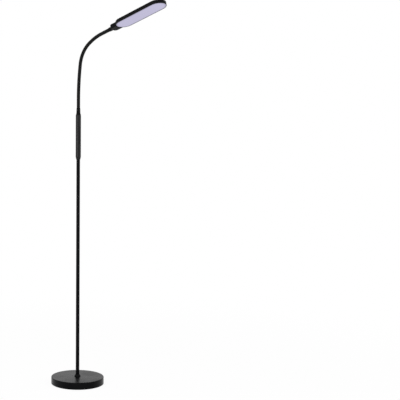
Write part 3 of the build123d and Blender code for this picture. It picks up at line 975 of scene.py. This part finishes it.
glow = {
    "rear": "#b0acc8",
    "tip": "#b3afcb",
    "edge": "#8f8ca3",
    "body": "#4a494d",
    "edgeStart": 28.0,  # from the middle line of the head
    "pitch": (12.0, 13.0),  # of the LEDs, along and across
    "spot": 0.65,  # reach of an LED's spot, in cells
    "contrast": 0.05,
    "rough": 0.45,
    "specular": 0.2,
    "grain": 1.5,  # of the matte face, in millimetres, drawn coarser than it is to show
    "depth": 0.02,
    "octaves": 2.0,
    "bump": 0.4,
}


def rimDistance(tree, axes):
    # distance from the straight line between the middles of the head's two round ends
    reach = (head["length"] - head["width"]) / 2 * mm
    away = addNode(tree, "ShaderNodeMath", {0: axes.outputs["X"]}, operation="ABSOLUTE").outputs[0]
    away = addNode(tree, "ShaderNodeMath", {0: away, 1: reach}, operation="SUBTRACT").outputs[0]
    away = addNode(tree, "ShaderNodeMath", {0: away, 1: 0.0}, operation="MAXIMUM").outputs[0]
    offset = addNode(tree, "ShaderNodeCombineXYZ", {"X": away, "Y": axes.outputs["Y"]}).outputs[0]
    return addNode(tree, "ShaderNodeVectorMath", {0: offset}, operation="LENGTH").outputs["Value"]


def makeGlow(spec):
    made, tree = newMaterial("litOpalAcrylic")
    place = addNode(tree, "ShaderNodeTexCoord").outputs["Object"]
    middle = headPlace @ Vector((headMiddle * mm, 0, 0))
    local = addNode(tree, "ShaderNodeMapping", {
        "Vector": place, "Location": middle, "Rotation": headPlace.to_euler()},
        vector_type="TEXTURE").outputs["Vector"]
    axes = addNode(tree, "ShaderNodeSeparateXYZ", {"Vector": local})
    edge = addNode(tree, "ShaderNodeMapRange", {
        "Value": rimDistance(tree, axes), "From Min": spec["edgeStart"] * mm,
        "From Max": (rim - head["wall"]) * mm}, interpolation_type="SMOOTHSTEP").outputs["Result"]
    tip = addNode(tree, "ShaderNodeMapRange", {
        "Value": axes.outputs["X"], "From Min": 0.0, "From Max": head["length"] / 2 * mm},
        interpolation_type="SMOOTHSTEP").outputs["Result"]
    wash = addNode(tree, "ShaderNodeMixRGB", {
        "Fac": tip, "Color1": srgb(spec["rear"]), "Color2": srgb(spec["tip"])}).outputs[0]
    wash = addNode(tree, "ShaderNodeMixRGB", {
        "Fac": edge, "Color1": wash, "Color2": srgb(spec["edge"])}).outputs[0]
    # cells of one LED each
    along, across = (1 / (pitch * mm) for pitch in spec["pitch"])
    cell = addNode(tree, "ShaderNodeMapping", {"Vector": local, "Scale": (along, across, 0)},
                   vector_type="POINT").outputs["Vector"]
    spot = addNode(tree, "ShaderNodeTexVoronoi", {"Vector": cell, "Scale": 1.0, "Randomness": 0.0},
                   voronoi_dimensions="2D").outputs["Distance"]
    level = addNode(tree, "ShaderNodeMapRange", {
        "Value": spot, "From Min": 0.0, "From Max": spec["spot"], "To Min": 1.0,
        "To Max": 1.0 - spec["contrast"]}, interpolation_type="SMOOTHSTEP").outputs["Result"]
    shine = addNode(tree, "ShaderNodeVectorMath", {0: wash, 1: level}, operation="MULTIPLY").outputs[0]
    grain = addNode(tree, "ShaderNodeTexNoise", {
        "Vector": place, "Scale": 1 / (spec["grain"] * mm), "Detail": spec["octaves"]}).outputs["Fac"]
    bump = addNode(tree, "ShaderNodeBump", {
        "Height": grain, "Distance": spec["depth"] * mm, "Strength": spec["bump"]}).outputs["Normal"]
    shader = addNode(tree, "ShaderNodeBsdfPrincipled", {
        "Base Color": srgb(spec["body"]), "Roughness": spec["rough"], "Normal": bump,
        "Specular IOR Level": spec["specular"], "Emission Color": shine, "Emission Strength": 1.0})
    addNode(tree, "ShaderNodeOutputMaterial", {"Surface": shader.outputs["BSDF"]})
    return made


material["litOpalAcrylic"] = makeGlow(glow)
slotOf["litOpalAcrylic"] = "milk_acrylic"


def headStadium(corners):
    bm = turned(corners, head["sides"], closed=False, straight=head["length"] - head["width"])
    bmesh.ops.translate(bm, vec=(headMiddle * mm, 0, 0), verts=bm.verts)
    return bm


def tongueHalf(low, high, outside, clear):
    # half of the outline, mirrored and made thick, with its outer edge rounded, and cut to the head's outline
    half, rear, shoulder = tongue["half"], tongue["rear"], tongue["shoulder"]
    radius = (shoulder**2 + (half - rear) ** 2) / (2 * (half - rear))
    into = tongue["length"] + head["width"] / 4  # well inside the head
    bm = bmesh.new()
    far = [bm.verts.new((x * mm, y * mm, low * mm)) for x, y in ((into, 0), (into, half), (shoulder, half))]
    bm.edges.new(far[0:2])
    bm.edges.new(far[1:3])
    arc = bmesh.ops.spin(bm, geom=[far[2]], cent=(shoulder * mm, (half - radius) * mm, low * mm),
                         axis=(0, 0, 1), angle=math.asin(shoulder / radius),
                         steps=tongue["arcSteps"])["geom_last"]
    corner = only(bmesh.types.BMVert, arc)[0]
    bm.edges.new((corner, bm.verts.new((0, 0, low * mm))))
    bmesh.ops.mirror(bm, geom=everything(bm), axis="Y", merge_dist=detail["merge"] * mm)
    bmesh.ops.remove_doubles(bm, verts=bm.verts, dist=detail["merge"] * mm)
    bmesh.ops.contextual_create(bm, geom=bm.edges[:])
    pushed(bm, bm.faces[:], (0, 0, (high - low) * mm))
    tidyMesh(bm)
    rims = [edge for edge in bm.edges
            if all(abs(vert.co.z - outside * mm) < detail["merge"] * mm for vert in edge.verts)]
    roundEdges(bm, rims, tongue["edge"], detail["cornerSteps"])
    reach = tongue["thickness"] + tongue["trim"]
    return carved(bm, headStadium([(0, -reach), (clear, -reach), (clear, reach), (0, reach)]))


def buildHeadShell():
    half = head["half"]
    shell = headStadium([
        (0, head["floor"]),
        (rim - head["ledge"], head["floor"]),
        (rim - head["ledge"], head["ledgeLevel"]),
        (rim - head["wall"], head["ledgeLevel"]),
        (rim - head["wall"], -half, head["innerEdge"]),
        (rim, -half, head["frontEdge"]),
        (rim, half, head["backEdge"]),
        (0, half),
    ])
    fixed = tongueHalf(-tongue["thickness"], 0, -tongue["thickness"], rim - tongue["sunk"])
    shell = carved(shell, fixed, "UNION")
    addPiece("head_shell_moulded", shell, "mouldedAbs", ["head_shell"], "head", headPlace)


def buildTongueCover():
    back = tongue["thickness"]
    cover = tongueHalf(0, back, back, rim + diffuser["fit"])
    spots = [Matrix.Translation((coverScrews["setback"] * mm, side * coverScrews["aside"] * mm, 0))
             for side in (-1, 1)]
    holes = joined([rod(coverScrews["hole"], back - coverScrews["headHeight"], coverScrews["drill"], spot)
                    for spot in spots])
    addPiece("tongue_cover_moulded", carved(cover, holes), "mouldedAbs", ["tongue_cover"], "head", headPlace)
    screws = screwSet(coverScrews, [spot @ Matrix.Translation((0, 0, back * mm)) for spot in spots])
    addPiece("cover_screws_turned", screws, "zincPlatedSteel", ["cover_screws"], "head", headPlace)


def buildDiffuser():
    outer = rim - head["wall"] - diffuser["fit"]
    low = diffuser["recess"] - head["half"]
    plate = headStadium([
        (0, low),
        (outer, low, diffuser["edge"]),
        (outer, low + diffuser["thickness"]),
        (0, low + diffuser["thickness"]),
    ])
    addPiece("diffuser_cast", plate, "litOpalAcrylic", ["diffuser"], "head", headPlace)


def buildFunnel():
    # bridged rings, from the round mouth to the oval end and back through the bore
    mouth, lip, length, bore = funnel["mouth"], funnel["lip"], funnel["length"], funnel["bore"]
    sleeve = bmesh.new()
    rings = []
    for level, across, deep in (
        (0, mouth - lip, mouth - lip),
        (lip / 3, mouth - lip / 3, mouth - lip / 3),
        (lip, mouth, mouth),
        (length, tongue["rear"], tongue["thickness"]),
        (length, bore, bore),
        (funnel["pocketDepth"], bore, bore),
        (funnel["pocketDepth"], funnel["pocket"], funnel["pocket"]),
        (0, funnel["pocket"], funnel["pocket"]),
    ):
        ring = bmesh.ops.create_circle(sleeve, segments=funnel["sides"], radius=1.0)["verts"]
        bmesh.ops.scale(sleeve, vec=(deep * mm, across * mm, 1), verts=ring)
        bmesh.ops.rotate(sleeve, matrix=Matrix.Rotation(math.pi / 2, 3, "Y"), verts=ring)
        bmesh.ops.translate(sleeve, vec=((level - length) * mm, 0, 0), verts=ring)
        rings.append({edge for vert in ring for edge in vert.link_edges})
    for first, second in zip(rings, rings[1:] + rings[:1]):
        bmesh.ops.bridge_loops(sleeve, edges=list(first | second))
    addPiece("neck_funnel_moulded", tidyMesh(sleeve), "mouldedAbs", ["neck_funnel"], "head", headPlace)


buildHeadShell()
buildTongueCover()
buildDiffuser()
buildFunnel()
print("head built")


# Inner pieces keep their solids and take their own finishes

innerPieces = {
    "zincPlatedSteel": ["bottom_plate", "plate_screws", "threaded_nipple", "lock_nut", "lock_washer",
                        "jack_nut", "pole_joiner_1", "pole_joiner_2", "foot_insert", "top_insert",
                        "neck_lower_fitting", "neck_upper_fitting", "board_screws"]
                       + [f"neck_segment_{k:02d}" for k in range(1, neck["segments"] + 1)],
    "castIron": ["base_weight"],
    "extrudedPvc": ["supply_cable"],
    "solderResist": ["control_board"],
    "turnedBrass": ["touch_pads"],
    "chipEpoxy": ["board_chips", "remote_receiver"],
    "whiteResist": ["led_board"],
    "phosphorGel": ["leds"],
}
for finish, nodes in innerPieces.items():
    for node in nodes:
        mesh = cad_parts[node].data
        mesh.materials.clear()
        mesh.materials.append(material[finish])
print("inner pieces finished")
